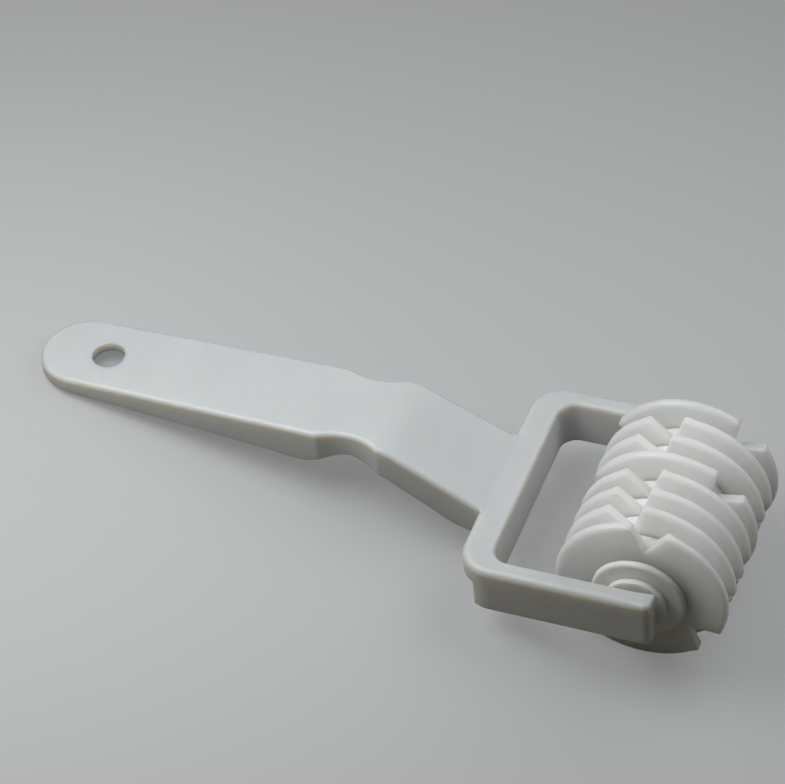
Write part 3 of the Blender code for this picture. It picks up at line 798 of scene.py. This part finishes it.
floor_half = 4
corners = [(x * floor_half, y * floor_half, 0) for x, y in ((-1, -1), (1, -1), (1, 1), (-1, 1))]
mesh = bpy.data.meshes.new("floor")
mesh.from_pydata(corners, [], [(0, 1, 2, 3)])
floor = add_piece("floor", mesh)
floor_paint = bpy.data.materials.new("pale_floor")
floor_paint.use_nodes = True
nodes, links = floor_paint.node_tree.nodes, floor_paint.node_tree.links
shader = nodes["Principled BSDF"]
place = nodes.new("ShaderNodeTexCoord")
texture = nodes.new("ShaderNodeTexNoise")
texture.inputs["Scale"].default_value = 3
links.new(place.outputs["Object"], texture.inputs["Vector"])
tone = nodes.new("ShaderNodeMix")
tone.data_type = "RGBA"
tone.inputs["A"].default_value = (0.30, 0.30, 0.305, 1)
tone.inputs["B"].default_value = (0.32, 0.32, 0.325, 1)
links.new(texture.outputs["Fac"], tone.inputs["Factor"])
links.new(tone.outputs["Result"], shader.inputs["Base Color"])
shader.inputs["Roughness"].default_value = 0.9
shader.inputs["Emission Color"].default_value = (0.98, 0.99, 1.0, 1)
shader.inputs["Emission Strength"].default_value = 0.20
# Less of the floor's light comes back onto the object than the eye sees on the floor.
dim = nodes.new("ShaderNodeBsdfDiffuse")
dim.inputs["Color"].default_value = (0.14, 0.12, 0.07, 1)
choice = nodes.new("ShaderNodeMixShader")
links.new(seen_share(nodes, links), choice.inputs["Fac"])
links.new(dim.outputs[0], choice.inputs[1])
links.new(shader.outputs[0], choice.inputs[2])
links.new(choice.outputs[0], nodes["Material Output"].inputs["Surface"])
mesh.materials.append(floor_paint)


# Light: a wide soft lamp over the grip, a weaker one over the far side of the roller, a faint
# warm one by the tip, and a dim sky.
def add_lamp(name, place, aim, size, power, colour):
    lamp = bpy.data.lights.new(name, "AREA")
    lamp.shape = "DISK"
    lamp.size = size
    lamp.energy = power
    lamp.color = colour
    item = bpy.data.objects.new(name, lamp)
    bpy.context.scene.collection.objects.link(item)
    turn = (Vector(aim) - Vector(place)).to_track_quat("-Z", "Y").to_matrix().to_4x4()
    item.matrix_world = Matrix.Translation(place) @ turn


add_lamp(
    "grip_lamp", place=(-0.12, -0.05, 0.20), aim=(0.02, 0, 0.01),
    size=0.20, power=0.47, colour=(0.97, 1.0, 1.0),
)
add_lamp(
    "roller_lamp", place=(0.12, 0.10, 0.20), aim=(0.02, 0, 0.01),
    size=0.20, power=0.20, colour=(0.97, 1.0, 1.0),
)
add_lamp(
    "tip_lamp", place=(-0.15, -0.14, 0.07), aim=(-0.05, 0, 0.01),
    size=0.12, power=0.022, colour=(1.0, 0.90, 0.70),
)
# The sky lights the object dimly, and shows as a plain pale backdrop.
world = bpy.data.worlds.new("pale_sky")
bpy.context.scene.world = world
world.use_nodes = True
nodes, links = world.node_tree.nodes, world.node_tree.links
sky = nodes["Background"]
sky.inputs["Color"].default_value = (0.80, 0.82, 0.84, 1)
sky.inputs["Strength"].default_value = 0.03
backdrop = nodes.new("ShaderNodeBackground")
backdrop.inputs["Color"].default_value = (0.98, 0.99, 1.0, 1)
backdrop.inputs["Strength"].default_value = 0.40
choice = nodes.new("ShaderNodeMixShader")
links.new(seen_share(nodes, links), choice.inputs["Fac"])
links.new(sky.outputs[0], choice.inputs[1])
links.new(backdrop.outputs[0], choice.inputs[2])
links.new(choice.outputs[0], nodes["World Output"].inputs["Surface"])


# Camera: the photograph's own viewing place, told in the cutter's frame. The focal length and
# the point that it looks straight at are in pixels of the picture.
picture_width, picture_height = 785, 784
focal_length = 3096.8
sight_across, sight_down = 412.98, 398.96
camera_data = bpy.data.cameras.new("camera")
camera_data.sensor_width = 36
camera_data.lens = focal_length / picture_width * camera_data.sensor_width
camera_data.shift_x = (picture_width / 2 - sight_across) / picture_width
camera_data.shift_y = (sight_down - picture_height / 2) / picture_width
camera_data.clip_start = 0.01
camera = bpy.data.objects.new("camera", camera_data)
bpy.context.scene.collection.objects.link(camera)
camera_place = Matrix.Translation((0.202916, -0.487878, 0.537118))
camera_turn = Matrix((
    (0.93478, -0.191233, 0.299361),
    (0.346988, 0.672016, -0.654212),
    (-0.076068, 0.715419, 0.694543),
))
camera.matrix_world = cutter_frame @ camera_place @ camera_turn.to_4x4()
bpy.context.scene.camera = camera
bpy.context.scene.view_settings.view_transform = "Standard"
